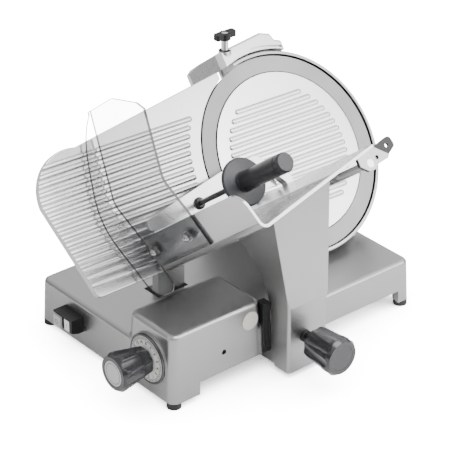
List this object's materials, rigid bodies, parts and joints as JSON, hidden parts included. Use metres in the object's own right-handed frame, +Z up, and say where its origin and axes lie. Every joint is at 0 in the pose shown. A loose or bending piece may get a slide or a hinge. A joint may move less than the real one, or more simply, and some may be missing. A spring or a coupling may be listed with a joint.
{
  "type": "deli meat slicer",
  "caption": "Gravity-feed deli slicer: tilted round blade with ribbed cover, ribbed gauge plate, V-tray carriage on an arm, clear hand guard, pusher and base with thickness knob.",
  "frame": {"origin": "centre of the four rubber feet, on the worktop", "axes": "+X along the long front edge, the way the carriage travels; +Y to the rear; +Z up"},
  "size_m": [0.5845, 0.4547, 0.4017],
  "materials": {
    "cast_aluminium": "satin, bead-blasted and clear anodised",
    "polished_aluminium": "fine brushed, clear anodised",
    "steel": "ground",
    "blade_steel": "hard-chromed, ground edge",
    "chrome": "polished",
    "dark_plastic": "fine grain",
    "dark_rod": "black oxide",
    "cap_grey": "smooth",
    "pale_plastic": "smooth",
    "clear_plastic": "clear polycarbonate",
    "rubber": "moulded",
    "stone": "vitrified grinding stone",
    "bronze": "oil-filled bronze"
  },
  "bodies": {
    "base": {"rubber_feet": "rubber", "socket_screws": "steel", "base_casting": "cast_aluminium", "dial_bezel": "polished_aluminium", "switch_housing": "dark_plastic", "housing_plug": "pale_plastic", "carriage_buffer": "dark_plastic", "carriage_shaft": "steel", "blade_cover": "polished_aluminium", "cover_tie_rod": "steel", "blade_guard_ring": "cast_aluminium", "blade_support": "cast_aluminium", "rear_cover": "cast_aluminium", "motor_plate": "steel", "motor": "dark_rod", "drive_belt": "rubber", "spindle_bearings": "steel", "gauge_shaft": "steel", "sharpener_post": "steel", "cable_gland": "dark_plastic"},
    "thickness_control": {"thickness_knob": "dark_plastic", "knob_cap": "cap_grey", "knob_spindle": "steel", "thickness_cam": "steel", "dial_scale": "pale_plastic"},
    "gauge": {"gauge_plate": "polished_aluminium", "gauge_plate_screws": "steel", "gauge_carriage": "cast_aluminium", "cam_follower": "steel"},
    "start": {"start_button": "pale_plastic"},
    "stop": {"stop_button": "pale_plastic"},
    "carriage": {"carriage_slider": "cast_aluminium", "carriage_bushes": "bronze", "slider_bolts": "steel", "carriage_arm": "cast_aluminium", "tray_screws": "steel", "product_tray": "polished_aluminium", "pusher_shaft": "steel", "shaft_lugs": "cast_aluminium", "hand_guard": "clear_plastic", "guard_bolts": "chrome"},
    "arm_release": {"arm_knob": "dark_plastic", "arm_knob_cap": "cap_grey", "arm_knob_stud": "steel"},
    "pusher_bearing": {"pusher_bush": "bronze"},
    "pusher": {"pusher_arm": "polished_aluminium", "pusher_plate": "polished_aluminium", "handle_rod": "dark_rod", "handle_flange": "dark_plastic", "handle_grip": "dark_plastic"},
    "blade": {"slicing_blade": "blade_steel", "blade_screws": "steel", "blade_spindle": "steel", "blade_pulley": "steel"},
    "motor_rotor": {"motor_pulley": "steel"},
    "cover_nut": {"cover_hand_nut": "dark_plastic"},
    "sharpener": {"sharpener_housing": "cast_aluminium", "sharpener_stem": "steel", "sharpening_stones": "stone"},
    "sharpener_lock": {"sharpener_knob": "dark_plastic"}
  },
  "joints": [
    {"name": "thickness_knob_turn", "type": "hinge", "parent": "base", "child": "thickness_control", "pos_m": [-0.2575, -0.103, 0.0635], "axis": [1, 0, 0], "range_deg": [0, 330]},
    {"name": "gauge_slide", "type": "slide", "parent": "base", "child": "gauge", "axis": [0, 0.7934, -0.6088], "range_m": [0, 0.015]},
    {"name": "start_press", "type": "slide", "parent": "base", "child": "start", "axis": [1, 0, 0], "range_m": [0, 0.0035]},
    {"name": "stop_press", "type": "slide", "parent": "base", "child": "stop", "axis": [1, 0, 0], "range_m": [0, 0.0035]},
    {"name": "carriage_slide", "type": "slide", "parent": "base", "child": "carriage", "axis": [1, 0, 0], "range_m": [0, 0.2]},
    {"name": "arm_knob_turn", "type": "hinge", "parent": "carriage", "child": "arm_release", "pos_m": [-0.021, -0.216, 0.063], "axis": [0, -1, 0], "range_deg": [0, 180]},
    {"name": "pusher_slide", "type": "slide", "parent": "carriage", "child": "pusher_bearing", "axis": [0, -0.7934, 0.6088], "range_m": [0, 0.17]},
    {"name": "pusher_swing", "type": "hinge", "parent": "pusher_bearing", "child": "pusher", "pos_m": [0.0595, -0.06164, 0.19269], "axis": [0, 0.7934, -0.6088], "range_deg": [0, 100]},
    {"name": "blade_spin", "type": "hinge", "parent": "base", "child": "blade", "pos_m": [0.1375, 0.02297, 0.21096], "axis": [0, -0.7934, 0.6088], "continuous": true},
    {"name": "motor_spin", "type": "hinge", "parent": "base", "child": "motor_rotor", "pos_m": [0.1325, 0.04473, 0.11611], "axis": [0, -0.7934, 0.6088], "continuous": true},
    {"name": "cover_nut_turn", "type": "hinge", "parent": "base", "child": "cover_nut", "pos_m": [0.1375, 0.1618, 0.10442], "axis": [0, -0.7934, 0.6088], "range_deg": [0, 180]},
    {"name": "sharpener_lift", "type": "slide", "parent": "base", "child": "sharpener", "axis": [0, 0.6088, 0.7934], "range_m": [0, 0.02]},
    {"name": "sharpener_knob_turn", "type": "hinge", "parent": "sharpener", "child": "sharpener_lock", "pos_m": [0.0975, 0.12188, 0.37808], "axis": [0, 0, 1], "range_deg": [-90, 90]}
  ],
  "couplings": [
    {"joint": "thickness_knob_turn", "follows": "gauge_slide", "rad_per_m": 383.97},
    {"joint": "motor_spin", "follows": "blade_spin", "ratio": 2.5}
  ]
}
